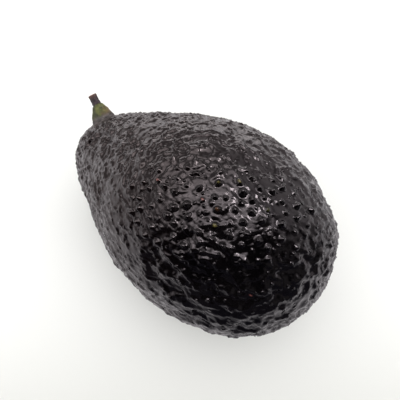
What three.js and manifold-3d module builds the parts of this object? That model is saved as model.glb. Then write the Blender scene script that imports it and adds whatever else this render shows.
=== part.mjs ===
// A whole avocado lying on its side, with the short cut stalk still on its neck.
// Millimetres, +Z up. The origin is the middle of the base of the part's box, at the surface it rests on.
// +X runs along the fruit from the stem end to the blossom end.

import * as THREE from "three";
import { ConvexHull } from "three/addons/math/ConvexHull.js";
import { mergeVertices } from "three/addons/utils/BufferGeometryUtils.js";
import Module from "manifold-3d";

const wasm = await Module();
wasm.setup();

// Body. A station runs along the fruit's own axis, from +1 at the stem end to -1 at the blossom end.
const FRUIT_LENGTH = 100;
const FRUIT_WIDTH = 64;
const PEAR_SHAPE = [-0.3, -0.26, 0.15, 0.46]; // narrows the neck and fills out its blunt end
const NECK_LEAN_Y = -12; // how far the neck's end leans to the side
const NECK_LEAN_Z = -3; // and how far it droops
const REST_TILT = THREE.MathUtils.degToRad(9); // the neck hangs lower than the heavy end
const FRUIT_AT_X = 0.56; // puts the part's box square over the origin
const FRUIT_AT_Y = 2.08;

// Resting spot: a flat where the skin meets the surface, under the fruit's weight.
const FOOT_CUT = 0.3;
const FOOT_CENTRE = [5.5, -1];
const FOOT_HALF_SIZE = [11, 5];
const FOOT_SKIRT = 1.5; // the pebbles fade in from the foot's edge to this many times its half size

// Pebbled skin: fine and close on the neck, coarse and bold at the blossom end.
const NECK_PEBBLES = { spacing: 2, height: 0.45 };
const BLOSSOM_PEBBLES = { spacing: 2.9, height: 0.75 };
const COARSE_FROM = 0.9; // the spacing and height grow from this station
const COARSE_TO = -0.5; // to this one
const HEIGHT_SPREAD = 0.4; // share by which one pebble may be higher or lower than its neighbours
const VALLEY_DEPTH = 0.3; // the valleys lie this far under the bare body
const SWELL_HEIGHT = 0.22; // broad lumps under the pebbles
const SWELL_PITCH = 15;
const SWELL_WAVES = [[1, 0.4, 0, 0], [0, 0.8, -0.5, 3], [-0.3, 0, 0.9, 7]]; // each wave's x, y, z and start
const PEBBLE_TRIES = 26000;
const SEED = 20417;
const RANDOM_FACTOR = 48271;
const RANDOM_RANGE = 2147483647;

// Blossom end: the small dimple that the flower left.
const SCAR_RADIUS = 3.2;
const SCAR_DEPTH = 0.55;
const SCAR_SKIRT = [1.6, 4.8]; // the pebbles fade in between these distances from its middle

// Stem: a swollen green collar set obliquely on the shoulder of the neck, with a dark stub above it.
const STEM_STATION = 0.86;
const STEM_AROUND = THREE.MathUtils.degToRad(88);
const COLLAR_ROOT = { radius: 3.5, depth: 0.8 };
const COLLAR_PROFILE = [[3.9, 0], [3.75, 0.6], [3.3, 1.8], [2.8, 3], [2.25, 4.1], [1.85, 4.8], [1.45, 5.05]];
const STUB_PROFILE = [[1.45, 0], [1.55, 0.3], [1.4, 1], [1.37, 2.2], [1.47, 3.1], [1.4, 3.45], [1.1, 3.6]];
const STUB_BEND = THREE.MathUtils.degToRad(6);
const STEM_SIDES = 28;
const COLLAR_LOBES = { count: 5, depth: 0.05 };
const STUB_LOBES = { count: 7, depth: 0.045 };
const MEETING_GAP = 0.3;
const LOBE_TWIST = 0.4; // radians to the millimetre, up the stalk
const SEAT_SKIRT = [4.6, 8.5]; // the pebbles fade out from the second distance to the first round the stem

// Working values
const PROFILE_STEPS = 400;
const SMALL_STEP = 1e-4;
const WELD_DISTANCE = 1e-4;
const SEAT_REACH = 4; // how far the seat's cutter stands clear of the skin
const PEAK_RADIUS = highest(bareRadius);

/** The greatest value of a function over all stations. */
function highest(shape) {
  let best = 0;
  for (let step = 0; step <= PROFILE_STEPS; step += 1) {
    best = Math.max(best, shape(Math.cos((Math.PI * step) / PROFILE_STEPS)));
  }
  return best;
}

/** The pear outline's half width at a station, before it is scaled to the fruit's width. */
function bareRadius(station) {
  const exponent = PEAR_SHAPE.reduceRight((sum, term) => (sum + term) * station, 0);
  return Math.sqrt(Math.max(0, 1 - station * station)) * Math.exp(exponent);
}

function radiusAt(station) {
  return (bareRadius(station) / PEAK_RADIUS) * (FRUIT_WIDTH / 2);
}

/** A point of the bare body, tilted as it rests but not yet lifted onto the surface. */
function tiltedPoint(station, around) {
  const radius = radiusAt(station);
  const lean = ((1 + station) / 2) ** 2;
  const along = (-station * FRUIT_LENGTH) / 2;
  const side = NECK_LEAN_Y * lean + radius * Math.cos(around);
  const up = NECK_LEAN_Z * lean + radius * Math.sin(around);
  const x = Math.cos(REST_TILT) * along - Math.sin(REST_TILT) * up;
  const z = Math.sin(REST_TILT) * along + Math.cos(REST_TILT) * up;
  return new THREE.Vector3(x, side, z);
}

/** How far the body is lifted so that the cut for its flat lies at height zero. */
function restHeight() {
  let lowest = 0;
  for (let step = 0; step <= PROFILE_STEPS; step += 1) {
    const station = Math.cos((Math.PI * step) / PROFILE_STEPS);
    lowest = Math.min(lowest, tiltedPoint(station, -Math.PI / 2).z);
  }
  return -lowest - FOOT_CUT;
}

const LIFT = restHeight();

function bodyPoint(station, around) {
  const point = tiltedPoint(station, around);
  return point.add(new THREE.Vector3(FRUIT_AT_X, FRUIT_AT_Y, LIFT));
}

/** The bare body's outward normal. */
function bodyNormal(station, around) {
  const inner = Math.min(Math.max(station, SMALL_STEP * 2 - 1), 1 - SMALL_STEP * 2);
  const along = bodyPoint(inner - SMALL_STEP, around).sub(bodyPoint(inner + SMALL_STEP, around));
  const across = bodyPoint(inner, around + SMALL_STEP).sub(bodyPoint(inner, around - SMALL_STEP));
  return across.cross(along).normalize();
}

/** Skin area and stretch along the body, from the stem end to the blossom end. */
function measureBody() {
  const stations = [1];
  const areas = [0];
  const stretches = [0];
  for (let step = 1; step <= PROFILE_STEPS; step += 1) {
    const station = Math.cos((Math.PI * step) / PROFILE_STEPS);
    const previous = stations[step - 1];
    const rise = radiusAt(station) - radiusAt(previous);
    const run = ((previous - station) * FRUIT_LENGTH) / 2;
    const length = Math.hypot(rise, run);
    const radius = (radiusAt(station) + radiusAt(previous)) / 2;
    stations.push(station);
    areas.push(areas[step - 1] + radius * length);
    stretches.push(stretches[step - 1] + length / radius);
  }
  return { stations, areas, stretches };
}

const BODY = measureBody();

/** Reads one list at the place where another, rising, list has the value. */
function interpolate(value, keys, values) {
  let low = 0;
  let high = keys.length - 1;
  while (high - low > 1) {
    const middle = Math.floor((low + high) / 2);
    if (keys[middle] > value) {
      high = middle;
    } else {
      low = middle;
    }
  }
  const share = (value - keys[low]) / (keys[high] - keys[low]);
  return values[low] + (values[high] - values[low]) * share;
}

/** A direction on a ball that keeps the body's angles, so that neighbours there are neighbours here. */
function ballDirection(areaShare, around) {
  const total = BODY.areas[PROFILE_STEPS];
  const stretch = interpolate(areaShare * total, BODY.areas, BODY.stretches);
  const fromMiddle = BODY.stretches[PROFILE_STEPS] / 2 - stretch;
  const latitude = 2 * Math.atan(Math.exp(fromMiddle)) - Math.PI / 2;
  const flat = Math.cos(latitude);
  return new THREE.Vector3(-Math.sin(latitude), flat * Math.cos(around), flat * Math.sin(around));
}

function makeRandom(seed) {
  let state = seed;
  return () => {
    state = (state * RANDOM_FACTOR) % RANDOM_RANGE;
    return state / RANDOM_RANGE;
  };
}

/** 0 below the first limit, 1 above the second, smooth between them. */
function ramp(value, low, high) {
  const share = Math.min(Math.max((value - low) / (high - low), 0), 1);
  return share * share * (3 - 2 * share);
}

function mix(from, to, share) {
  return from + (to - from) * share;
}

/** Centres of the pebbles, scattered over the skin and no closer than their spacing. */
function scatterPebbles() {
  const random = makeRandom(SEED);
  const total = BODY.areas[PROFILE_STEPS];
  const pebbles = [];
  for (let attempt = 0; attempt < PEBBLE_TRIES; attempt += 1) {
    const areaShare = random();
    const around = random() * 2 * Math.PI;
    const station = interpolate(areaShare * total, BODY.areas, BODY.stations);
    const point = bodyPoint(station, around);
    const coarse = ramp(-station, -COARSE_FROM, -COARSE_TO);
    const spacing = mix(NECK_PEBBLES.spacing, BLOSSOM_PEBBLES.spacing, coarse);
    const crowded = pebbles.some((other) => other.point.distanceTo(point) < (spacing + other.spacing) / 2);
    if (!crowded) {
      const height = mix(NECK_PEBBLES.height, BLOSSOM_PEBBLES.height, coarse);
      const spread = 1 + HEIGHT_SPREAD * (2 * random() - 1);
      const normal = bodyNormal(station, around);
      const direction = ballDirection(areaShare, around);
      pebbles.push({ point, normal, direction, spacing, height: height * spread });
    }
  }
  return pebbles;
}

/** Broad lumps, as three crossed waves. */
function swell(point) {
  const turn = (2 * Math.PI) / SWELL_PITCH;
  const waves = SWELL_WAVES.map(([x, y, z, start]) => {
    return Math.sin(turn * (x * point.x + y * point.y + z * point.z + start));
  });
  return (SWELL_HEIGHT * (waves[0] + waves[1] + waves[2])) / 2;
}

/** How strongly the skin is pebbled at a point: not on the foot, under the stem or in the scar. */
function roughness(point) {
  const footX = (point.x - FOOT_CENTRE[0]) / FOOT_HALF_SIZE[0];
  const footY = (point.y - FOOT_CENTRE[1]) / FOOT_HALF_SIZE[1];
  const overFoot = point.z > FRUIT_WIDTH / 2 ? 1 : ramp(Math.hypot(footX, footY), 1, FOOT_SKIRT);
  const roundStem = ramp(point.distanceTo(STEM_BASE), SEAT_SKIRT[0], SEAT_SKIRT[1]);
  const roundScar = ramp(point.distanceTo(BLOSSOM_END), SCAR_SKIRT[0], SCAR_SKIRT[1]);
  return overFoot * roundStem * roundScar;
}

/** How far the skin stands off the bare body, for a pebble's top or, with no height, a valley. */
function relief(point, height) {
  const scar = SCAR_DEPTH * (1 - ramp(point.distanceTo(BLOSSOM_END), 0, SCAR_RADIUS));
  return roughness(point) * (height - VALLEY_DEPTH + swell(point)) - scar;
}

const STEM_BASE = bodyPoint(STEM_STATION, STEM_AROUND);
const STEM_NORMAL = bodyNormal(STEM_STATION, STEM_AROUND);
const BLOSSOM_END = bodyPoint(-1, 0);

/** The skin: a low pyramid for each pebble, meeting its neighbours in valleys. */
function pebbledSkin() {
  const pebbles = scatterPebbles();
  const indexOf = new Map(pebbles.map((pebble, index) => [pebble.direction, index]));
  const hull = new ConvexHull().setFromPoints(pebbles.map((pebble) => pebble.direction));
  const vertices = pebbles.map((pebble) => {
    return pebble.point.clone().addScaledVector(pebble.normal, relief(pebble.point, pebble.height));
  });
  const valleyOf = new Map();
  for (const face of hull.faces) {
    valleyOf.set(face, vertices.length);
    vertices.push(valleyPoint(faceCorners(face).map((corner) => pebbles[indexOf.get(corner)])));
  }
  const triangles = [];
  for (const face of hull.faces) {
    for (const edge of [face.edge, face.edge.next, face.edge.prev]) {
      const start = indexOf.get(edge.tail().point);
      const end = indexOf.get(edge.head().point);
      const left = valleyOf.get(face);
      const right = valleyOf.get(edge.twin.face);
      if (start < end) {
        triangles.push(start, right, left, end, left, right);
      }
    }
  }
  return solidFrom(vertices.flatMap((vertex) => vertex.toArray()), triangles);
}

function faceCorners(face) {
  return [face.edge, face.edge.next, face.edge.prev].map((edge) => edge.head().point);
}

/** The low point between three neighbouring pebbles. */
function valleyPoint(corners) {
  const point = new THREE.Vector3();
  const normal = new THREE.Vector3();
  for (const corner of corners) {
    point.addScaledVector(corner.point, 1 / corners.length);
    normal.add(corner.normal);
  }
  return point.clone().addScaledVector(normal.normalize(), relief(point, 0));
}

function solidFrom(positions, triangles) {
  const vertProperties = new Float32Array(positions);
  return new wasm.Manifold(new wasm.Mesh({ numProp: 3, vertProperties, triVerts: new Uint32Array(triangles) }));
}

/** A geometry with only its places, each shared vertex held once. */
function welded(geometry) {
  geometry.deleteAttribute("normal");
  geometry.deleteAttribute("uv");
  return mergeVertices(geometry, WELD_DISTANCE);
}

function solidOf(geometry, matrix) {
  const clean = welded(geometry.clone().applyMatrix4(matrix));
  return solidFrom(clean.attributes.position.array, clean.index.array);
}

function geometryOf(solid) {
  const mesh = solid.getMesh();
  const geometry = new THREE.BufferGeometry();
  geometry.setAttribute("position", new THREE.BufferAttribute(mesh.vertProperties, mesh.numProp));
  geometry.setIndex(new THREE.BufferAttribute(mesh.triVerts, 1));
  geometry.computeVertexNormals();
  return geometry;
}

/** Everything below the surface that the fruit rests on. */
function groundBlock() {
  const size = FRUIT_LENGTH * 2;
  return solidOf(new THREE.BoxGeometry(size, size, size), new THREE.Matrix4().makeTranslation(0, 0, -size / 2));
}

/** Turns +Y onto a direction and moves the origin to a place. */
function standOn(place, direction) {
  const turn = new THREE.Quaternion().setFromUnitVectors(new THREE.Vector3(0, 1, 0), direction);
  return { place, turn, matrix: new THREE.Matrix4().compose(place, turn, new THREE.Vector3(1, 1, 1)) };
}

/** The shallow seat in the neck that holds the collar's root, with room all round it. */
function stemSeat(stand) {
  const radius = COLLAR_ROOT.radius + MEETING_GAP;
  const depth = COLLAR_ROOT.depth + MEETING_GAP;
  const cutter = new THREE.CylinderGeometry(radius, radius, depth + SEAT_REACH, STEM_SIDES);
  cutter.translate(0, (SEAT_REACH - depth) / 2, 0);
  return solidOf(cutter, stand.matrix);
}

function fruitGeometry(stand) {
  return geometryOf(pebbledSkin().subtract(groundBlock()).subtract(stemSeat(stand)));
}

/** A turned piece on +Y whose section is drawn in between shallow lobes. */
function lobedTurning(profile, lobes) {
  const outline = profile.map(([radius, height]) => new THREE.Vector2(radius, height));
  const bottom = new THREE.Vector2(0, outline[0].y);
  const top = new THREE.Vector2(0, outline[outline.length - 1].y);
  const geometry = welded(new THREE.LatheGeometry([bottom, ...outline, top], STEM_SIDES));
  const places = geometry.attributes.position;
  for (let index = 0; index < places.count; index += 1) {
    const angle = Math.atan2(places.getZ(index), places.getX(index));
    const scale = 1 + lobes.depth * Math.cos(lobes.count * angle + places.getY(index) * LOBE_TWIST);
    places.setX(index, places.getX(index) * scale);
    places.setZ(index, places.getZ(index) * scale);
  }
  return geometry;
}

function collarGeometry() {
  const { radius, depth } = COLLAR_ROOT;
  const lobed = 1 + COLLAR_LOBES.depth;
  return lobedTurning([[radius / lobed, -depth], [radius / lobed, 0], ...COLLAR_PROFILE], COLLAR_LOBES);
}

function piece(name, geometry, material) {
  const mesh = new THREE.Mesh(geometry, new THREE.MeshStandardMaterial(material));
  mesh.name = name;
  return mesh;
}

/** The collar and the stub, stood on the neck. */
function makeStem(stand) {
  const stem = new THREE.Group();
  stem.position.copy(stand.place);
  stem.quaternion.copy(stand.turn);
  const collar = piece("stem_collar", collarGeometry(), { color: 0x6b7234, roughness: 0.6, metalness: 0 });
  const stub = piece("stem_stub", lobedTurning(STUB_PROFILE, STUB_LOBES), { color: 0x33262a, roughness: 0.7 });
  stub.position.y = COLLAR_PROFILE[COLLAR_PROFILE.length - 1][1] + MEETING_GAP;
  stub.rotation.x = STUB_BEND;
  stem.add(collar, stub);
  return stem;
}

function makeAvocado() {
  const avocado = new THREE.Group();
  const stand = standOn(STEM_BASE, STEM_NORMAL);
  avocado.add(piece("fruit", fruitGeometry(stand), { color: 0x1a161b, roughness: 0.3, metalness: 0 }));
  avocado.add(makeStem(stand));
  return avocado;
}

export default makeAvocado();
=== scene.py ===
import math

import bmesh
import bpy
import numpy as np
from mathutils import Matrix, Vector, noise


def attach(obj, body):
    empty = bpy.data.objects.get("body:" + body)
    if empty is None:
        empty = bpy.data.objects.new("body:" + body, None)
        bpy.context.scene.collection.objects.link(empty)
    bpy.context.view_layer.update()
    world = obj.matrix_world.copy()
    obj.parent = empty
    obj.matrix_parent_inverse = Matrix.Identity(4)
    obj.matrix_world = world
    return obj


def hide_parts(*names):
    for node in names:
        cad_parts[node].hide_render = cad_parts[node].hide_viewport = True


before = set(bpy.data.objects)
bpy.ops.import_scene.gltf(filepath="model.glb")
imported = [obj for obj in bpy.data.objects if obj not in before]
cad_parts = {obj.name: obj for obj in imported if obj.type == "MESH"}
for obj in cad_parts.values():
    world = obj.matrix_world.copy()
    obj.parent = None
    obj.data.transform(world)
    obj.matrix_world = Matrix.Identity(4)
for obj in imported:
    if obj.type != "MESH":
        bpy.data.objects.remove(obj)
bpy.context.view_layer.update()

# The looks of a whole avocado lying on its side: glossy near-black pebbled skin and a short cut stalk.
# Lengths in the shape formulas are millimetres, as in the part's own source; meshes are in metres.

MM = 0.001

# Body, from the part's source
FRUIT_LENGTH = 100
FRUIT_WIDTH = 64
PEAR_SHAPE = (-0.3, -0.26, 0.15, 0.46)
NECK_LEAN_Y = -12
NECK_LEAN_Z = -3
REST_TILT = math.radians(9)
FRUIT_AT = (0.56, 2.08)
FOOT_CUT = 0.3
FOOT_CENTRE = (5.5, -1)
FOOT_HALF_SIZE = (11, 5)
FOOT_SKIRT = 1.5
PROFILE_STEPS = 400

# Pebbles, from the part's source
NECK_PEBBLES = {"spacing": 2.0, "height": 0.45}
BLOSSOM_PEBBLES = {"spacing": 2.9, "height": 0.75}
COARSE_FROM = 0.9
COARSE_TO = -0.5
HEIGHT_SPREAD = 0.4
VALLEY_DEPTH = 0.3
SWELL_HEIGHT = 0.22
SWELL_PITCH = 15
SWELL_WAVES = ((1, 0.4, 0, 0), (0, 0.8, -0.5, 3), (-0.3, 0, 0.9, 7))
PEBBLE_TRIES = 26000
SEED = 20417
RANDOM_FACTOR = 48271
RANDOM_RANGE = 2147483647
SCAR_RADIUS = 3.2
SCAR_DEPTH = 0.55
SCAR_SKIRT = (1.6, 4.8)

# Stalk, from the part's source
STEM_STATION = 0.86
STEM_AROUND = math.radians(88)
COLLAR_PROFILE = ((3.9, 0), (3.75, 0.6), (3.3, 1.8), (2.8, 3), (2.25, 4.1), (1.85, 4.8), (1.45, 5.05))
STUB_PROFILE = ((1.45, 0), (1.55, 0.3), (1.4, 1), (1.37, 2.2), (1.47, 3.1), (1.4, 3.45), (1.1, 3.6))
STUB_BEND = math.radians(6)
COLLAR_LOBES = {"count": 5, "depth": 0.05}
STUB_LOBES = {"count": 7, "depth": 0.045}
MEETING_GAP = 0.3

# Fine skin
SKIN_CUTS = 127
TOP_SHARE = 0.2  # moves the grid's points up to the side that is seen
NEIGHBOURS = 4
POINTS_AT_ONCE = 4096
SHIFT_OFFSETS = (3.1, 47.7, 91.3)
SHIFTS = ((0.6, 1.6), (0.5, 4.0))  # how far the pattern wanders, and over what pitch
PEBBLE_RADIUS = (0.75, 0.88)  # of a middling pebble, on the neck and at the blossom end
RADIUS_SHARES = (0.35, 0.65)  # of a radius: the fixed share, and the one that follows the height
DOME_HEIGHT = (0.7, 0.27, 1.25)  # of the part's pointed pebbles: neck, blossom end, bold band
DOME_FULLNESS = 0.85  # less has steeper sides
DOME_MERGING = 3  # more keeps domes that meet apart
SETTLE = 0.15  # keeps the steep tips inside the part's own outline
SKIRT = (3.6, 6.0)  # the pebbles fade out round the stalk

# A band of bolder pebbles across the side that is seen: stations, and angles round the body in
# degrees. Most of it is calm, with smooth skin between the pebbles. Lower down, toward the
# blossom end, it is folded.
BOLD_BAND = (((-0.27, 130), (-0.52, 118), (-0.77, 80)),)
BOLD_REACH = (7, 14)
BOLD_RADIUS = 0.95
FOLDED_FROM = (math.radians(108), math.radians(128))
FOLDED_BEYOND = (0.45, 0.6)
CALMED = {"shift": 0.4, "islands": 0.7, "crests": 0.2, "bumps": 0.5}  # taken off where it is calm
MOATS = {"depth": 0.1, "radii": 1.35, "width": 0.3}
BUMPS = {"height": 0.5, "pitch": 1.7, "start": 17, "edge": (0.2, 0.45)}

# Low relief between the pebbles. Each layer has a noise with a pitch and a start, and ridges
# stand where the noise is near zero. Low on the near side the crests run along the fruit.
RIDGE_EDGE = 0.15
ISLANDS = {"height": 0.4, "pitch": 4.2, "start": 11, "edge": (-0.08, 0.13), "coarse": (0.45, 1)}
BROAD_RIDGES = {"height": 0.2, "calm": 0.15, "folded": 0.75, "pitch": 2.4, "start": 5}
NECK_RIDGE_HEIGHT = 1.7
CRESTS = {"height": 0.45, "edge": 0.2, "sunk": 0.2, "bold": 0.5, "low": 0.5}
ROUND_CRESTS = {"pitch": 3.3, "start": 7}
LONG_CRESTS = {"pitch": 2.4, "start": 7}
FOLDS = {"height": 1.2, "pitch": 4.5, "start": 13, "beyond": (0.3, 0.6)}
WRINKLES = {"height": (0.2, 0.08), "pitch": 1.1, "start": 3}
LOW_SIDE = (math.radians(126), math.radians(149))
FOLD_STRETCH = (0.3, 1, 1)  # slows a noise along the fruit, so that it draws long lines

# Drawn cracks, and thin raised lines: stations, and angles round the body in degrees
GROOVE_DEPTH = 0.5
GROOVE_REACH = (0, 0.55)
GROOVES = (
    ((-0.31, 107), (-0.34, 104.4), (-0.365, 103.6), (-0.39, 101)),
    ((-0.11, 135.6), (-0.144, 133), (-0.161, 129), (-0.18, 126)),
)
WELT_HEIGHT = 0.4
WELT_REACH = (0, 0.85)
WELTS = (
    ((-0.833, 130), (-0.87, 135.6), (-0.868, 140.8), (-0.848, 139.6), (-0.842, 136.4)),
    ((-0.705, 147.6), (-0.759, 153.2), (-0.79, 154.8), (-0.802, 150.8), (-0.782, 146.4)),
    ((-0.582, 135.2), (-0.685, 130), (-0.736, 128.4)),
)

# Corky specks on the tips of a few pebbles: station, angle round the body in degrees, and tone.
PINK, OCHRE, RUST, OLIVE = 0.0, 0.4, 0.7, 1.0
SPECKS = (
    (-0.227, 122, PINK),
    (-0.473, 98, OCHRE),
    (-0.464, 93.6, OCHRE),
    (-0.587, 108.4, RUST),
    (-0.582, 117.6, OCHRE),
    (-0.707, 84.8, OLIVE),
    (-0.913, 145.6, PINK),
)
SPECK_SHARE = 0.012  # of the other pebbles
SPECK_EDGE = (0.2, 0.6)  # in radii of its pebble

# Where the skin's finish changes
TIP_RISE = (0.05, 0.4)
BLOSSOM_FADE = (-0.2, 0.8)
CORK_RING = {"edge": (4.2, 7.0), "reach": 0.8, "pitch": 1.5, "start": 9}

# Fine stalk. A layer of knobs has a height, and a noise with a pitch and a start.
ROUNDING_PASSES = 6
LOBE_TWIST = 0.4
COLLAR_ROOT = ((4.3, -1.5), (4.1, -0.6), (3.95, 0.2))  # sunk into the neck
COLLAR_TIP = ((1.5, 5.15), (1.3, 5.6), (0.6, 5.7))
COLLAR_GRID = {"rings": 90, "sides": 120}
COLLAR_KNOBS = ((0.22, 1.7, 31), (0.07, 0.6, 8))
COLLAR_KNOBS_END = (5.4, 4.6)
BLUSH = {"edge": (-0.2, 1.8), "pitch": 1.3, "start": 12}
STUB_CUT = (0.5, 3.62)
STUB_GRID = {"rings": 80, "sides": 90}
STUB_STREAKS = {"height": 0.03, "count": 13, "sway": 2, "pitch": 1.2, "start": 4}
STUB_KNOBS = ((0.08, 0.7, 17),)
STUB_KNOBS_END = (3.7, 3.4)

# Finishes. A mottle's pitch and a bump's distance are in millimetres.
SKIN_MOTTLE = {
    "pitch": 14,
    "contrast": 3.0,
    "first": (0.0003, 0.0002, 0.0004),
    "second": (0.0009, 0.0005, 0.0007),
}
NECK_TINT = (0.012, 0.006, 0.005)
TINT_SHARE = 0.2
RING_MOTTLE = {"pitch": 1.2, "contrast": 3.0, "first": (0.03, 0.025, 0.024), "second": (0.09, 0.076, 0.072)}
SPECK_COLOURS = {
    PINK: (0.2, 0.07, 0.06),
    OLIVE: (0.04, 0.04, 0.012),
    OCHRE: (0.11, 0.095, 0.03),
    RUST: (0.08, 0.035, 0.012),
}
PIMPLES = {"scale": 600, "edge": 0.42, "missing": 0.5}
SKIN_GRAIN = {"pitch": 6.6, "contrast": 1.0, "first": (0, 0, 0), "second": (1, 1, 1)}
SKIN_GRAIN_SHARE = 0.25
SKIN_BUMP = 0.3
SKIN_ROUGHNESS = (0.09, 0.06)  # in the pits, and on the tips
BLOOM_ROUGHNESS = 0.07
CORK_ROUGHNESS = 0.3
GLINTS = ((1, 0.89, 0.88), (0.97, 0.92, 0.97))  # on the neck, and at the blossom end

GREEN_MOTTLE = {"pitch": 2.2, "contrast": 3.5, "first": (0.035, 0.04, 0.009), "second": (0.13, 0.14, 0.03)}
STALK_CORK = {"pitch": 1.2, "contrast": 3.0, "first": (0.035, 0.029, 0.028), "second": (0.11, 0.094, 0.09)}
STALK_CORK_EDGE = (0.25, 0.6)
STALK_CORK_GRAIN = 0.35
BLUSH_COLOUR = (0.16, 0.085, 0.03)
BLUSH_SHARE = 0.75
BARK_MOTTLE = {"pitch": 1.6, "contrast": 3.0, "first": (0.02, 0.012, 0.014), "second": (0.055, 0.035, 0.04)}
BARK_TIP_COLOUR = (0.09, 0.045, 0.038)
BARK_TIP_EDGE = (0.55, 0.95)
CUT_COLOUR = (0.62, 0.42, 0.34)
CUT_EDGE = (0.985, 1.0)
STALK_BUMP = 0.25
MOTTLE_GRAIN = 6.0  # times finer than the patches

# Camera
CAMERA_AZIMUTH = math.radians(55.17)
CAMERA_ELEVATION = math.radians(55)
CAMERA_DISTANCE = 178.7
CAMERA_TARGET = (0.55 + FRUIT_AT[0], 0.01 + FRUIT_AT[1], 31.0 - FOOT_CUT)
CAMERA_FIELD = math.radians(40)
TOWARD_CAMERA = Vector((math.sin(CAMERA_AZIMUTH), -math.cos(CAMERA_AZIMUTH), 0))
TO_THE_RIGHT = Vector((math.cos(CAMERA_AZIMUTH), math.sin(CAMERA_AZIMUTH), 0))

# Floor, with distances in metres toward the camera. Its colour holds painted shade: the board darkens
# toward the camera, and what the skin mirrors of it darkens to near black in front, a painted reflection.
FLOOR_HALF = 4.0
# painted shade: the pale board's colour greys toward the camera
BOARD_TO_PAINTED_SHADE_COLOURS = ((0.95, 0.95, 0.925), (0.56, 0.56, 0.525))
PAINTED_SHADE_FADE = (0.0, 0.11)
# painted reflection: the floor as the skin mirrors it, pale near the fruit and painted shade to near black
# toward the camera
PAINTED_REFLECTION_COLOURS = ((0.8, 0.765, 0.785), (0.01, 0.01, 0.024))
PAINTED_REFLECTION_FADE = (0.03, 0.1)

# Light, by its direction: how high it comes from, and how far toward the camera, each from -1 to 1
SKY_LIGHT = 0.42
WALL_LIGHT = 1.6
WALL_TOP = (-0.1, 0.32)
BACK_LIGHT = 2.3
BACK_WALL = (-1, -0.72)
SHADE = (0.05, 0.45)  # toward the camera, where the mirrored room darkens
FLOOR_LIGHT = (0.72, 1.82)  # the matte floor is lit mostly from the camera's side
FLOOR_LIGHT_FROM = (-0.8, 0.8)
GLOSS_TINT = (1, 0.93, 0.935)  # the room the skin mirrors is a little warm
STRIP_LIGHT = 2.0
STRIP_BACK = (-0.12, -0.05)
STRIP_FRONT = (0.02, 0.1)
STRIP_HEIGHT = (0.7, 0.9)
SOFTBOX_LIGHT = 2.4
SOFTBOX_AIM = (Vector((0, 0, 1)) + 0.05 * TOWARD_CAMERA - 0.36 * TO_THE_RIGHT).normalized()
SOFTBOX_EDGE = (math.cos(math.radians(46)), math.cos(math.radians(12)))
SIDE_LIGHT = 0.55
SIDE_AIM = (Vector((0, 0, 0.55)) - 0.45 * TOWARD_CAMERA + 0.65 * TO_THE_RIGHT).normalized()
SIDE_EDGE = (math.cos(math.radians(33)), math.cos(math.radians(12)))
WINDOW_LIGHT = 0.16
WINDOW_AIM = (0.75 * TOWARD_CAMERA + 0.62 * TO_THE_RIGHT + Vector((0, 0, 0.15))).normalized()
WINDOW_EDGE = (math.cos(math.radians(30)), math.cos(math.radians(8)))
LAMP_LIGHT = 18.0
LAMP_AIM = (Vector((0, 0, 1)) + 0.03 * TOWARD_CAMERA + 0.25 * TO_THE_RIGHT).normalized()
LAMP_EDGE = (math.cos(math.radians(10)), math.cos(math.radians(3)))


# --- the body's formula -------------------------------------------------------

def bare_radius(station):
    exponent = sum(term * station ** (power + 1) for power, term in enumerate(PEAR_SHAPE))
    return np.sqrt(np.maximum(0, 1 - station * station)) * np.exp(exponent)


ALL_STATIONS = np.cos(np.pi * np.arange(PROFILE_STEPS + 1) / PROFILE_STEPS)
PEAK_RADIUS = bare_radius(ALL_STATIONS).max()


def radius_at(station):
    return bare_radius(station) / PEAK_RADIUS * FRUIT_WIDTH / 2


def tilted_point(station, around):
    radius = radius_at(station)
    lean = ((1 + station) / 2) ** 2
    along = -station * FRUIT_LENGTH / 2
    side = NECK_LEAN_Y * lean + radius * np.cos(around)
    up = NECK_LEAN_Z * lean + radius * np.sin(around)
    x = math.cos(REST_TILT) * along - math.sin(REST_TILT) * up
    z = math.sin(REST_TILT) * along + math.cos(REST_TILT) * up
    return np.stack([x, side, z], axis=-1)


LIFT = -tilted_point(ALL_STATIONS, -math.pi / 2)[:, 2].min() - FOOT_CUT


def body_point(station, around):
    return tilted_point(station, around) + np.array([*FRUIT_AT, LIFT])


def body_normal(station, around):
    small = 1e-4
    inner = np.clip(station, small * 2 - 1, 1 - small * 2)
    along = body_point(inner - small, around) - body_point(inner + small, around)
    across = body_point(inner, around + small) - body_point(inner, around - small)
    normal = np.cross(across, along)
    return normal / np.linalg.norm(normal, axis=-1, keepdims=True)


def skin_areas():
    """Skin area from the stem end to each station."""
    radii = radius_at(ALL_STATIONS)
    lengths = np.hypot(np.diff(radii), np.diff(ALL_STATIONS) * FRUIT_LENGTH / 2)
    bands = (radii[1:] + radii[:-1]) / 2 * lengths
    return np.concatenate([[0.0], np.cumsum(bands)])


SKIN_AREAS = skin_areas()
STEM_BASE = body_point(STEM_STATION, STEM_AROUND)
STEM_NORMAL = body_normal(STEM_STATION, STEM_AROUND)
BLOSSOM_END = body_point(-1.0, 0.0)


def station_at(area_share):
    return np.interp(area_share * SKIN_AREAS[-1], SKIN_AREAS, ALL_STATIONS)


def grid_station(share):
    """Stations that give every pebble about as many faces, small ones on the neck too."""
    pitch = mix(NECK_PEBBLES["spacing"], BLOSSOM_PEBBLES["spacing"], coarseness(ALL_STATIONS))
    weights = np.diff(SKIN_AREAS) / pitch[1:] ** 2
    totals = np.concatenate([[0.0], np.cumsum(weights)])
    return np.interp(share * totals[-1], totals, ALL_STATIONS)


def ramp(value, low, high):
    share = np.clip((value - low) / (high - low), 0, 1)
    return share * share * (3 - 2 * share)


def mix(start, end, share):
    return start + (end - start) * share


def coarseness(station):
    """0 on the neck's fine skin, 1 on the coarse skin of the blossom half."""
    return ramp(-station, -COARSE_FROM, -COARSE_TO)


# --- pebbles ------------------------------------------------------------------

def random_draws(seed):
    state = seed
    while True:
        state = state * RANDOM_FACTOR % RANDOM_RANGE
        yield state / RANDOM_RANGE


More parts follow.
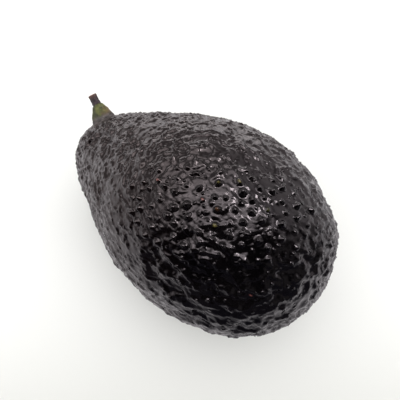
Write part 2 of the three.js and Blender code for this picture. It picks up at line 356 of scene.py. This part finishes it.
def scatter_pebbles():
    """The same pebbles as in the part's source: centres, heights, and shares of the usual height."""
    draws = random_draws(SEED)
    centres = np.zeros((PEBBLE_TRIES, 3))
    spacings = np.zeros(PEBBLE_TRIES)
    heights = np.zeros(PEBBLE_TRIES)
    shares = np.zeros(PEBBLE_TRIES)
    count = 0
    for _ in range(PEBBLE_TRIES):
        station = station_at(next(draws))
        point = body_point(station, next(draws) * 2 * math.pi)
        coarse = coarseness(station)
        spacing = mix(NECK_PEBBLES["spacing"], BLOSSOM_PEBBLES["spacing"], coarse)
        gaps = np.linalg.norm(centres[:count] - point, axis=1)
        if (gaps < (spacing + spacings[:count]) / 2).any():
            continue
        shares[count] = 1 + HEIGHT_SPREAD * (2 * next(draws) - 1)
        heights[count] = mix(NECK_PEBBLES["height"], BLOSSOM_PEBBLES["height"], coarse) * shares[count]
        centres[count] = point
        spacings[count] = spacing
        count += 1
    coarse = ramp(spacings[:count], NECK_PEBBLES["spacing"], BLOSSOM_PEBBLES["spacing"])
    fixed, following = RADIUS_SHARES
    radii = mix(*PEBBLE_RADIUS, coarse) * (fixed + following * shares[:count])
    return centres[:count], heights[:count], radii


def swell(points):
    turn = 2 * math.pi / SWELL_PITCH
    waves = [np.sin(turn * (points @ np.array(along) + start)) for *along, start in SWELL_WAVES]
    return SWELL_HEIGHT * sum(waves) / 2


def roughness_share(points):
    """How much of the relief stands at each point: none on the foot, at the stalk and in the scar."""
    foot = np.linalg.norm((points[:, :2] - FOOT_CENTRE) / FOOT_HALF_SIZE, axis=1)
    over_foot = np.where(points[:, 2] > FRUIT_WIDTH / 2, 1, ramp(foot, 1, FOOT_SKIRT))
    round_stem = ramp(np.linalg.norm(points - STEM_BASE, axis=1), *SKIRT)
    round_scar = ramp(np.linalg.norm(points - BLOSSOM_END, axis=1), *SCAR_SKIRT)
    return over_foot * round_stem * round_scar


def nearest(points, centres, count):
    """The nearest centres of each point and how far they are, nearest first."""
    order = np.empty((len(points), count), int)
    gaps = np.empty((len(points), count))
    squares = (centres ** 2).sum(axis=1)
    for start in range(0, len(points), POINTS_AT_ONCE):
        end = start + POINTS_AT_ONCE
        chunk = points[start:end]
        far = (chunk ** 2).sum(axis=1)[:, None] + squares - 2 * chunk @ centres.T
        picked = np.argpartition(far, count, axis=1)[:, :count]
        far = np.take_along_axis(far, picked, axis=1)
        rank = np.argsort(far, axis=1)
        order[start:end] = np.take_along_axis(picked, rank, axis=1)
        gaps[start:end] = np.sqrt(np.maximum(np.take_along_axis(far, rank, axis=1), 0))
    return order, gaps


def pebble_domes(points, centres, heights, radii):
    """Steep-sided domes that run into one another."""
    order, gaps = nearest(points, centres, NEIGHBOURS)
    rise = np.zeros(len(points))
    for rank in range(NEIGHBOURS):
        index = order[:, rank]
        reach = np.clip(gaps[:, rank] / radii[index], 0, 1)
        rise += (heights[index] * (1 - reach ** 2) ** DOME_FULLNESS) ** DOME_MERGING
    return rise ** (1 / DOME_MERGING), order[:, 0], gaps[:, 0]


def drawn_lines(points, lines, reach):
    """1 on the given lines over the body, fading to 0 over the reach beside them."""
    drawn = np.zeros(len(points))
    for line in lines:
        ends = [body_point(station, math.radians(angle)) for station, angle in line]
        for start, end in zip(ends, ends[1:]):
            along = end - start
            share = np.clip((points - start) @ along / (along @ along), 0, 1)
            gap = np.linalg.norm(points - start - share[:, None] * along, axis=1)
            drawn = np.maximum(drawn, 1 - ramp(gap, *reach))
    return drawn


# --- relief of the fine skin --------------------------------------------------

def noise_field(points, pitch, start):
    return np.array([noise.noise(Vector(place)) for place in (points / pitch + start)])


def layer_noise(points, layer):
    return noise_field(points, layer["pitch"], layer["start"])


def noise_shift(points, pitch):
    return np.stack([noise_field(points, pitch, offset) for offset in SHIFT_OFFSETS], axis=-1)


def skin_masks(points, station, around):
    """How far each kind of skin holds at each point, from 0 to 1."""
    bold = drawn_lines(points, BOLD_BAND, BOLD_REACH)
    folded = ramp(around, *FOLDED_FROM) * ramp(-station, *FOLDED_BEYOND)
    return {
        "coarse": coarseness(station),
        "bold": bold,
        "folded": folded,
        "calm": bold * (1 - folded),
        "low": ramp(np.abs(around), *LOW_SIDE),
    }


def shifted_points(points, masks):
    """The points moved about by noise, so that no dome or ridge comes out regular."""
    shift = sum(reach * noise_shift(points, pitch) for reach, pitch in SHIFTS)
    return points + (1 - CALMED["shift"] * masks["calm"])[:, None] * shift


def islands(shifted, masks):
    """Flat-topped islands with wide valleys between them, where the skin is coarse."""
    height = mix(0.0, ISLANDS["height"], ramp(masks["coarse"], *ISLANDS["coarse"]))
    height *= 1 - CALMED["islands"] * masks["calm"]
    return height * (ramp(layer_noise(shifted, ISLANDS), *ISLANDS["edge"]) - 0.5)


def broad_ridges(shifted, masks):
    """Low ridges between the pebbles, higher where the bold band is folded."""
    in_band = mix(BROAD_RIDGES["calm"], BROAD_RIDGES["folded"], masks["folded"])
    height = mix(BROAD_RIDGES["height"], in_band, masks["bold"]) * masks["coarse"]
    return height * (RIDGE_EDGE - np.abs(layer_noise(shifted, BROAD_RIDGES)))


def crests(shifted, masks):
    """Wandering crests: broad ones on the neck, and thin sharp ones where the skin is coarse."""
    coarse = masks["coarse"]
    long_crests = layer_noise(shifted * FOLD_STRETCH, LONG_CRESTS)
    from_crest = np.abs(mix(layer_noise(shifted, ROUND_CRESTS), long_crests, masks["low"]))
    sharp = np.clip(1 - from_crest / CRESTS["edge"], 0, 1) ** 2 - CRESTS["sunk"]
    height = CRESTS["height"] * coarse * (1 - CRESTS["low"] * masks["low"])
    height *= mix(1, CRESTS["bold"], masks["bold"]) - CALMED["crests"] * masks["calm"]
    return NECK_RIDGE_HEIGHT * (1 - coarse) * (RIDGE_EDGE - from_crest) + height * sharp


def folds(shifted, station, masks):
    """Folds that run along the fruit on its blossom half."""
    height = FOLDS["height"] * (1 - masks["calm"]) * ramp(-station, *FOLDS["beyond"])
    return height * (RIDGE_EDGE - np.abs(layer_noise(shifted * FOLD_STRETCH, FOLDS)))


def bumps(points, masks):
    """Uneven small bumps in the bold band."""
    height = BUMPS["height"] * (masks["bold"] - CALMED["bumps"] * masks["calm"])
    return height * ramp(layer_noise(points, BUMPS), *BUMPS["edge"])


def moats(own_gap, masks):
    """Shallow rings round the pebbles of the bold band, from each point's gap in pebble radii."""
    return MOATS["depth"] * masks["bold"] * np.exp(-((own_gap - MOATS["radii"]) / MOATS["width"]) ** 2)


def wrinkles(points, masks):
    return mix(*WRINKLES["height"], masks["coarse"]) * layer_noise(points, WRINKLES)


def drawn_marks(points, shifted):
    """The raised lines and the cracks."""
    welts = WELT_HEIGHT * drawn_lines(points, WELTS, WELT_REACH)
    return welts - GROOVE_DEPTH * drawn_lines(shifted, GROOVES, GROOVE_REACH)


def scar(points):
    """Depth of the shallow scar at the blossom end."""
    far = np.linalg.norm(points - BLOSSOM_END, axis=1)
    return SCAR_DEPTH * (1 - ramp(far, 0, SCAR_RADIUS))


# --- meshes -------------------------------------------------------------------

def cube_grid(name):
    """A cube with an even grid of quads on each side."""
    mesh = bmesh.new()
    bmesh.ops.create_cube(mesh, size=2)
    bmesh.ops.subdivide_edges(mesh, edges=mesh.edges[:], cuts=SKIN_CUTS, use_grid_fill=True)
    data = bpy.data.meshes.new(name)
    mesh.to_mesh(data)
    mesh.free()
    return data


def gathered_on_top(ball):
    """Moves the points of a ball up, closer together on top, with no stretch."""
    centre = np.array([0, 0, -TOP_SHARE])
    away = ball - centre
    far = (away ** 2).sum(axis=1, keepdims=True)
    return (1 - TOP_SHARE ** 2) * away / far - centre


def read_points(data):
    flat = np.empty(len(data.vertices) * 3)
    data.vertices.foreach_get("co", flat)
    return flat.reshape(-1, 3)


def write_points(data, points):
    data.vertices.foreach_set("co", (points * MM).astype(np.float32).ravel())
    data.shade_smooth()
    data.update()


def add_value(data, name, values):
    layer = data.attributes.new(name, "FLOAT", "POINT")
    layer.data.foreach_set("value", np.broadcast_to(values, len(data.vertices)).astype(np.float32))


def placed(name, data, material):
    data.materials.append(material)
    piece = bpy.data.objects.new(name, data)
    bpy.context.scene.collection.objects.link(piece)
    return piece


def speck_tones(centres):
    """The tone of each pebble's corky tip, or -1 where it has none."""
    chance = np.random.default_rng(SEED)
    tones = np.where(chance.random(len(centres)) < SPECK_SHARE, chance.random(len(centres)), -1)
    for station, angle, tone in SPECKS:
        place = body_point(station, math.radians(angle))
        tones[np.linalg.norm(centres - place, axis=1).argmin()] = tone
    return tones


def skin_grid(data):
    """Station and angle round the body for each point of the cube, spread evenly over a ball first."""
    ball = np.tan(read_points(data) * math.pi / 4)
    ball /= np.linalg.norm(ball, axis=1, keepdims=True)
    ball = gathered_on_top(ball)
    return grid_station((1 + ball[:, 0]) / 2), np.arctan2(ball[:, 2], ball[:, 1])


def make_skin():
    centres, heights, radii = scatter_pebbles()
    radii = radii * mix(1, BOLD_RADIUS, drawn_lines(centres, BOLD_BAND, BOLD_REACH))
    data = cube_grid("pebbled_skin")
    station, around = skin_grid(data)
    points = body_point(station, around)
    masks = skin_masks(points, station, around)
    shifted = shifted_points(points, masks)

    rise, own, gap = pebble_domes(shifted, centres, heights, radii)
    own_gap = gap / radii[own]
    neck_height, blossom_height, bold_height = DOME_HEIGHT
    rise *= mix(mix(neck_height, blossom_height, masks["coarse"]), bold_height, masks["bold"])
    relief = rise - VALLEY_DEPTH - SETTLE + swell(points)
    relief += islands(shifted, masks) + broad_ridges(shifted, masks) + crests(shifted, masks)
    relief += folds(shifted, station, masks) + bumps(points, masks) + wrinkles(points, masks)
    relief += drawn_marks(points, shifted) - moats(own_gap, masks)
    relief = roughness_share(points) * relief - scar(points)
    stalk_gap = np.linalg.norm(points - STEM_BASE, axis=1)
    points = points + body_normal(station, around) * relief[:, None]
    points[:, 2] = np.maximum(points[:, 2], 0)
    write_points(data, points)

    tones = speck_tones(centres)[own]
    cork_gap = stalk_gap + CORK_RING["reach"] * layer_noise(points, CORK_RING)
    add_value(data, "tip", ramp(rise, *TIP_RISE))
    add_value(data, "blossom", ramp(-station, *BLOSSOM_FADE))
    add_value(data, "speck", (tones >= 0) * (1 - ramp(own_gap, *SPECK_EDGE)))
    add_value(data, "speck_tone", np.maximum(tones, 0))
    add_value(data, "cork", 1 - ramp(cork_gap, *CORK_RING["edge"]))
    return placed("pebbled_skin", data, skin_material())


def smooth_profile(profile, rings):
    """Evenly spaced points on a turned outline, with its corners rounded."""
    radii, heights = np.array(profile, float).T
    run = np.concatenate([[0.0], np.cumsum(np.hypot(np.diff(radii), np.diff(heights)))])
    at = np.linspace(0, run[-1], rings)
    line = np.stack([np.interp(at, run, radii), np.interp(at, run, heights)], axis=1)
    for _ in range(ROUNDING_PASSES):
        line[1:-1] = (line[:-2] + 2 * line[1:-1] + line[2:]) / 4
    return line


def closed_faces(rings, sides):
    """Faces of a turned piece: bands of quads, and a fan at each end round its last two points."""
    faces = []
    for ring in range(rings - 1):
        for side in range(sides):
            here = ring * sides + side
            after = ring * sides + (side + 1) % sides
            faces.append((here, here + sides, after + sides, after))
    bottom = rings * sides
    last = (rings - 1) * sides
    for side in range(sides):
        after = (side + 1) % sides
        faces.append((bottom, side, after))
        faces.append((bottom + 1, last + after, last + side))
    return faces


def turned_piece(name, profile, lobes, rings, sides, material, knobs):
    """A closed turned piece on +Y, drawn in between shallow lobes, with knobs on its surface."""
    line = smooth_profile(profile, rings)
    angles = np.arange(sides) * 2 * math.pi / sides
    turn = lobes["count"] * angles[None, :] + line[:, 1:] * LOBE_TWIST
    radius = line[:, :1] * (1 + lobes["depth"] * np.cos(turn))
    height = np.broadcast_to(line[:, 1:], radius.shape)
    points = np.stack([radius * np.cos(angles), height, radius * np.sin(angles)], axis=-1).reshape(-1, 3)
    outward = np.stack([np.cos(angles), np.zeros(sides), np.sin(angles)], axis=-1)
    outward = np.broadcast_to(outward, (rings, sides, 3)).reshape(-1, 3)
    points = points + outward * knobs(points)[:, None]
    points = np.concatenate([points, [[0, line[0, 1], 0], [0, line[-1, 1], 0]]])
    data = bpy.data.meshes.new(name)
    data.from_pydata(points.tolist(), [], closed_faces(rings, sides))
    return placed(name, data, material), points


def stood_on_neck(piece, points, lift=0.0, bend=0.0):
    """Moves a turned piece's points, on +Y, to where the stalk stands on the neck."""
    turn = Vector((0, 1, 0)).rotation_difference(Vector(STEM_NORMAL)).to_matrix().to_4x4()
    stand = Matrix.Translation(Vector(STEM_BASE)) @ turn
    stand = stand @ Matrix.Translation((0, lift, 0)) @ Matrix.Rotation(bend, 4, "X")
    stand = np.array(stand)
    write_points(piece.data, points @ stand[:3, :3].T + stand[:3, 3])


def knob_layers(points, layers):
    return sum(height * noise_field(points, pitch, start) for height, pitch, start in layers)


def collar_knobs(points):
    return knob_layers(points, COLLAR_KNOBS) * ramp(points[:, 1], *COLLAR_KNOBS_END)


def stub_knobs(points):
    angle = np.arctan2(points[:, 2], points[:, 0])
    turn = STUB_STREAKS["count"] * angle + STUB_STREAKS["sway"] * layer_noise(points, STUB_STREAKS)
    knobs = STUB_STREAKS["height"] * np.sin(turn) + knob_layers(points, STUB_KNOBS)
    return knobs * ramp(points[:, 1], *STUB_KNOBS_END)


def make_collar():
    piece, points = turned_piece(
        "stalk_collar",
        COLLAR_ROOT + COLLAR_PROFILE[1:-1] + COLLAR_TIP,
        COLLAR_LOBES,
        **COLLAR_GRID,
        material=collar_material(),
        knobs=collar_knobs,
    )
    stood_on_neck(piece, points)
    add_value(piece.data, "height", points[:, 1] / COLLAR_PROFILE[-1][1])
    side = (read_points(piece.data) / MM - STEM_BASE) @ np.array(TO_THE_RIGHT)
    add_value(piece.data, "blush", ramp(side + layer_noise(points, BLUSH), *BLUSH["edge"]))
    return piece


def make_stub():
    piece, points = turned_piece(
        "stalk_stub",
        STUB_PROFILE + (STUB_CUT,),
        STUB_LOBES,
        **STUB_GRID,
        material=stub_material(),
        knobs=stub_knobs,
    )
    stood_on_neck(piece, points, COLLAR_PROFILE[-1][1] + MEETING_GAP, STUB_BEND)
    add_value(piece.data, "height", points[:, 1] / STUB_PROFILE[-1][1])
    return piece


# --- materials ----------------------------------------------------------------

def math_node(nodes, links, operation, first, second):
    node = nodes.new("ShaderNodeMath")
    node.operation = operation
    for socket, value in zip(node.inputs, (first, second)):
        if isinstance(value, (int, float)):
            socket.default_value = value
        else:
            links.new(value, socket)
    return node.outputs[0]


def range_node(nodes, links, value, low, high, out_low, out_high):
    node = nodes.new("ShaderNodeMapRange")
    node.interpolation_type = "SMOOTHSTEP"
    for name, number in zip(("From Min", "From Max", "To Min", "To Max"), (low, high, out_low, out_high)):
        node.inputs[name].default_value = number
    links.new(value, node.inputs["Value"])
    return node.outputs["Result"]


def mix_colour(nodes, links, share, first, second):
    node = nodes.new("ShaderNodeMix")
    node.data_type = "RGBA"
    links.new(share, node.inputs["Factor"])
    for socket, value in zip((node.inputs[6], node.inputs[7]), (first, second)):
        if isinstance(value, tuple):
            socket.default_value = (*value, 1)
        else:
            links.new(value, socket)
    return node.outputs[2]


def add_tint(nodes, links, colour, tint, share):
    node = nodes.new("ShaderNodeMix")
    node.data_type = "RGBA"
    node.blend_type = "ADD"
    node.inputs["Factor"].default_value = share
    links.new(colour, node.inputs[6])
    links.new(tint, node.inputs[7])
    return node.outputs[2]


def noise_node(nodes, links, place, scale, detail):
    node = nodes.new("ShaderNodeTexNoise")
    node.inputs["Detail"].default_value = detail
    links.new(place, node.inputs["Vector"])
    links.new(scale, node.inputs["Scale"])
    return node.outputs["Fac"]


def dot_node(nodes, links, vector, along):
    node = nodes.new("ShaderNodeVectorMath")
    node.operation = "DOT_PRODUCT"
    node.inputs[1].default_value = along
    links.new(vector, node.inputs[0])
    return node.outputs["Value"]


def attribute(nodes, name):
    node = nodes.new("ShaderNodeAttribute")
    node.attribute_name = name
    return node.outputs["Fac"]


def mottle_group():
    """Cloudy patches of two colours, with a fine grain."""
    if "mottle" in bpy.data.node_groups:
        return bpy.data.node_groups["mottle"]
    group = bpy.data.node_groups.new("mottle", "ShaderNodeTree")
    sockets = group.interface.new_socket
    for name, kind in (("Pitch", "Float"), ("Contrast", "Float"), ("First", "Color"), ("Second", "Color")):
        sockets(name, in_out="INPUT", socket_type="NodeSocket" + kind)
    for name, kind in (("Colour", "Color"), ("Patches", "Float"), ("Grain", "Float")):
        sockets(name, in_out="OUTPUT", socket_type="NodeSocket" + kind)
    nodes, links = group.nodes, group.links
    given = nodes.new("NodeGroupInput").outputs
    result = nodes.new("NodeGroupOutput").inputs
    place = nodes.new("ShaderNodeTexCoord").outputs["Object"]
    scale = math_node(nodes, links, "DIVIDE", 1.0, given["Pitch"])
    fine_scale = math_node(nodes, links, "MULTIPLY", scale, MOTTLE_GRAIN)
    cloud = noise_node(nodes, links, place, scale, 4)
    grain = noise_node(nodes, links, place, fine_scale, 3)
    centred = math_node(nodes, links, "SUBTRACT", cloud, 0.5)
    spread = math_node(nodes, links, "MULTIPLY", centred, given["Contrast"])
    patches = range_node(nodes, links, math_node(nodes, links, "ADD", spread, 0.5), 0, 1, 0, 1)
    links.new(mix_colour(nodes, links, patches, given["First"], given["Second"]), result["Colour"])
    links.new(patches, result["Patches"])
    links.new(grain, result["Grain"])
    return group


def mottle(nodes, pitch, contrast, first, second):
    node = nodes.new("ShaderNodeGroup")
    node.node_tree = mottle_group()
    node.inputs["Pitch"].default_value = pitch * MM
    node.inputs["Contrast"].default_value = contrast
    node.inputs["First"].default_value = (*first, 1)
    node.inputs["Second"].default_value = (*second, 1)
    return node.outputs


def add_bump(nodes, links, shader, height, distance):
    bump = nodes.new("ShaderNodeBump")
    bump.inputs["Distance"].default_value = distance * MM
    bump.inputs["Strength"].default_value = 1
    links.new(height, bump.inputs["Height"])
    links.new(bump.outputs["Normal"], shader.inputs["Normal"])


def new_material(name):
    material = bpy.data.materials.new(name)
    material.use_nodes = True
    nodes, links = material.node_tree.nodes, material.node_tree.links
    return material, nodes, links, nodes["Principled BSDF"]


def speck_colour(nodes, links):
    """The colour of a corky speck, from its tone."""
    node = nodes.new("ShaderNodeValToRGB")
    links.new(attribute(nodes, "speck_tone"), node.inputs["Fac"])
    stops = node.color_ramp.elements
    stops[0].color = (*SPECK_COLOURS[PINK], 1)
    stops[1].color = (*SPECK_COLOURS[OLIVE], 1)
    for tone in (OCHRE, RUST):
        stops.new(tone).color = (*SPECK_COLOURS[tone], 1)
    return node.outputs["Color"]


def pimple_height(nodes, links):
    """Tiny round pimples in some of the cells of an uneven grid."""
    cells = nodes.new("ShaderNodeTexVoronoi")
    cells.inputs["Scale"].default_value = PIMPLES["scale"]
    links.new(nodes.new("ShaderNodeTexCoord").outputs["Object"], cells.inputs["Vector"])
    pimples = range_node(nodes, links, cells.outputs["Distance"], 0.0, PIMPLES["edge"], 1, 0)
    present = math_node(nodes, links, "GREATER_THAN", cells.outputs["Color"], PIMPLES["missing"])
    return math_node(nodes, links, "MULTIPLY", pimples, present)


def skin_roughness(nodes, links, patches):
    bloom = math_node(nodes, links, "MULTIPLY", patches, BLOOM_ROUGHNESS)
    gloss = range_node(nodes, links, attribute(nodes, "tip"), 0, 1, *SKIN_ROUGHNESS)
    gloss = math_node(nodes, links, "ADD", gloss, bloom)
    dull = math_node(nodes, links, "MULTIPLY", attribute(nodes, "cork"), CORK_ROUGHNESS)
    return math_node(nodes, links, "ADD", gloss, dull)


def skin_material():
    material, nodes, links, shader = new_material("glossy pebbled skin")
    blossom = attribute(nodes, "blossom")
    ground = mottle(nodes, **SKIN_MOTTLE)
    tint = mix_colour(nodes, links, blossom, NECK_TINT, (0.0, 0.0, 0.0))
    colour = add_tint(nodes, links, ground["Colour"], tint, TINT_SHARE)
    ring = mottle(nodes, **RING_MOTTLE)
    colour = mix_colour(nodes, links, attribute(nodes, "cork"), colour, ring["Colour"])
    colour = mix_colour(nodes, links, attribute(nodes, "speck"), colour, speck_colour(nodes, links))
    links.new(colour, shader.inputs["Base Color"])
    links.new(skin_roughness(nodes, links, ground["Patches"]), shader.inputs["Roughness"])
    links.new(mix_colour(nodes, links, blossom, *GLINTS), shader.inputs["Specular Tint"])

    grain = mottle(nodes, **SKIN_GRAIN)["Grain"]
    grain = math_node(nodes, links, "MULTIPLY", grain, SKIN_GRAIN_SHARE)
    height = math_node(nodes, links, "ADD", pimple_height(nodes, links), grain)
    add_bump(nodes, links, shader, height, SKIN_BUMP)
    return material


def collar_material():
    material, nodes, links, shader = new_material("olive green stalk")
    green = mottle(nodes, **GREEN_MOTTLE)
    cork = mottle(nodes, **STALK_CORK)
    edge = math_node(nodes, links, "MULTIPLY", green["Grain"], STALK_CORK_GRAIN)
    edge = math_node(nodes, links, "ADD", attribute(nodes, "height"), edge)
    low = range_node(nodes, links, edge, *STALK_CORK_EDGE, 1, 0)
    patch = math_node(nodes, links, "MULTIPLY", attribute(nodes, "blush"), BLUSH_SHARE)
    colour = mix_colour(nodes, links, patch, green["Colour"], BLUSH_COLOUR)
    colour = mix_colour(nodes, links, low, colour, cork["Colour"])
    links.new(colour, shader.inputs["Base Color"])
    shader.inputs["Roughness"].default_value = 0.5
    add_bump(nodes, links, shader, cork["Grain"], STALK_BUMP)
    return material


def stub_material():
    material, nodes, links, shader = new_material("dark bark with a pale cut end")
    bark = mottle(nodes, **BARK_MOTTLE)
    height = attribute(nodes, "height")
    tip = range_node(nodes, links, height, *BARK_TIP_EDGE, 0, 1)
    colour = mix_colour(nodes, links, tip, bark["Colour"], BARK_TIP_COLOUR)
    cut = range_node(nodes, links, height, *CUT_EDGE, 0, 1)
    colour = mix_colour(nodes, links, cut, colour, CUT_COLOUR)
    links.new(colour, shader.inputs["Base Color"])
    shader.inputs["Roughness"].default_value = 0.6
    add_bump(nodes, links, shader, bark["Grain"], STALK_BUMP)
    return material


def floor_material():
    """A pale board with painted shade, darker toward the camera. The skin mirrors it as a painted
    reflection that darkens to near black in front.
    """
    material, nodes, links, shader = new_material("matte pale board with painted shade and painted reflection")
    shader.inputs["Roughness"].default_value = 0.9
    place = nodes.new("ShaderNodeNewGeometry").outputs["Position"]
    toward = dot_node(nodes, links, place, TOWARD_CAMERA)
    # painted shade: the board's colour darkens toward the camera
    board_painted_shade = range_node(nodes, links, toward, *PAINTED_SHADE_FADE, 0, 1)
    # painted reflection: the floor's colour for mirrored rays only, darkening to near black toward the
    # camera
    painted_reflection_fade = range_node(nodes, links, toward, *PAINTED_REFLECTION_FADE, 0, 1)
    board = mix_colour(nodes, links, board_painted_shade, *BOARD_TO_PAINTED_SHADE_COLOURS)
    painted_reflection = mix_colour(nodes, links, painted_reflection_fade, *PAINTED_REFLECTION_COLOURS)
    mirrored = nodes.new("ShaderNodeLightPath").outputs["Is Glossy Ray"]
    # mirrored rays see the painted reflection, other rays the board with its painted shade
    links.new(mix_colour(nodes, links, mirrored, board, painted_reflection), shader.inputs["Base Color"])
    return material


# --- studio -------------------------------------------------------------------

def make_camera():
    data = bpy.data.cameras.new("camera")
    data.angle = CAMERA_FIELD
    data.clip_start = 0.01
    camera = bpy.data.objects.new("camera", data)
    bpy.context.scene.collection.objects.link(camera)
    back = TOWARD_CAMERA * math.cos(CAMERA_ELEVATION) + Vector((0, 0, math.sin(CAMERA_ELEVATION)))
    camera.location = (Vector(CAMERA_TARGET) + back * CAMERA_DISTANCE) * MM
    camera.rotation_euler = (-back).to_track_quat("-Z", "Y").to_euler()
    bpy.context.scene.camera = camera


def make_floor():
    data = bpy.data.meshes.new("floor")
    half = FLOOR_HALF
    corners = [(-half, -half, 0), (half, -half, 0), (half, half, 0), (-half, half, 0)]
    data.from_pydata(corners, [], [(0, 1, 2, 3)])
    placed("floor", data, floor_material())


def aimed_light(nodes, links, direction, aim, edge, strength):
    """A soft round patch of light in the sky."""
    return range_node(nodes, links, dot_node(nodes, links, direction, aim), *edge, 0, strength)


def strip_light(nodes, links, toward, height):
    """A long soft lamp across the ceiling."""
    behind = range_node(nodes, links, toward, *STRIP_BACK, 0, 1)
    before = range_node(nodes, links, toward, *STRIP_FRONT, 1, 0)
    high = range_node(nodes, links, height, *STRIP_HEIGHT, 0, STRIP_LIGHT)
    across = math_node(nodes, links, "MULTIPLY", behind, before)
    return math_node(nodes, links, "MULTIPLY", across, high)


def wall_light(nodes, links, toward, height):
    """A bright wall all round, brightest at the back, under a dimmer sky."""
    wall = range_node(nodes, links, height, *WALL_TOP, WALL_LIGHT, SKY_LIGHT)
    back = range_node(nodes, links, toward, *BACK_WALL, BACK_LIGHT, 1)
    return math_node(nodes, links, "MULTIPLY", wall, back)


def mirrored_room(nodes, links, direction, toward, height):
    """What the skin mirrors: the wall and the lamps, which darken toward the camera, and a dim window."""
    room = wall_light(nodes, links, toward, height)
    lamps = [
        aimed_light(nodes, links, direction, SOFTBOX_AIM, SOFTBOX_EDGE, SOFTBOX_LIGHT),
        aimed_light(nodes, links, direction, LAMP_AIM, LAMP_EDGE, LAMP_LIGHT),
        aimed_light(nodes, links, direction, SIDE_AIM, SIDE_EDGE, SIDE_LIGHT),
        strip_light(nodes, links, toward, height),
    ]
    for lamp in lamps:
        room = math_node(nodes, links, "ADD", room, lamp)
    shade = range_node(nodes, links, toward, *SHADE, 1, 0)
    window = aimed_light(nodes, links, direction, WINDOW_AIM, WINDOW_EDGE, WINDOW_LIGHT)
    return math_node(nodes, links, "ADD", window, math_node(nodes, links, "MULTIPLY", room, shade))


def make_light():
    """Soft light from all round and above. The skin mirrors a darker room on the camera's side."""
    world = bpy.data.worlds.new("soft studio")
    bpy.context.scene.world = world
    world.use_nodes = True
    nodes, links = world.node_tree.nodes, world.node_tree.links
    background = nodes["Background"].inputs
    direction = nodes.new("ShaderNodeTexCoord").outputs["Generated"]
    toward = dot_node(nodes, links, direction, TOWARD_CAMERA)
    height = dot_node(nodes, links, direction, (0, 0, 1))
    mirrored = nodes.new("ShaderNodeLightPath").outputs["Is Glossy Ray"]
    seen = nodes.new("ShaderNodeMix")
    links.new(mirrored, seen.inputs["Factor"])
    links.new(range_node(nodes, links, toward, *FLOOR_LIGHT_FROM, *FLOOR_LIGHT), seen.inputs["A"])
    links.new(mirrored_room(nodes, links, direction, toward, height), seen.inputs["B"])
    links.new(seen.outputs["Result"], background["Strength"])
    links.new(mix_colour(nodes, links, mirrored, (1, 1, 1), GLOSS_TINT), background["Color"])


# --- the scene ----------------------------------------------------------------

make_camera()
make_floor()
make_light()
bpy.context.scene.view_settings.view_transform = "Standard"

for made, node, slot in (
    (make_skin(), "fruit", "skin"),
    (make_collar(), "stem_collar", "green_stalk"),
    (make_stub(), "stem_stub", "woody_stalk"),
):
    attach(made, "root")
    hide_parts(node)
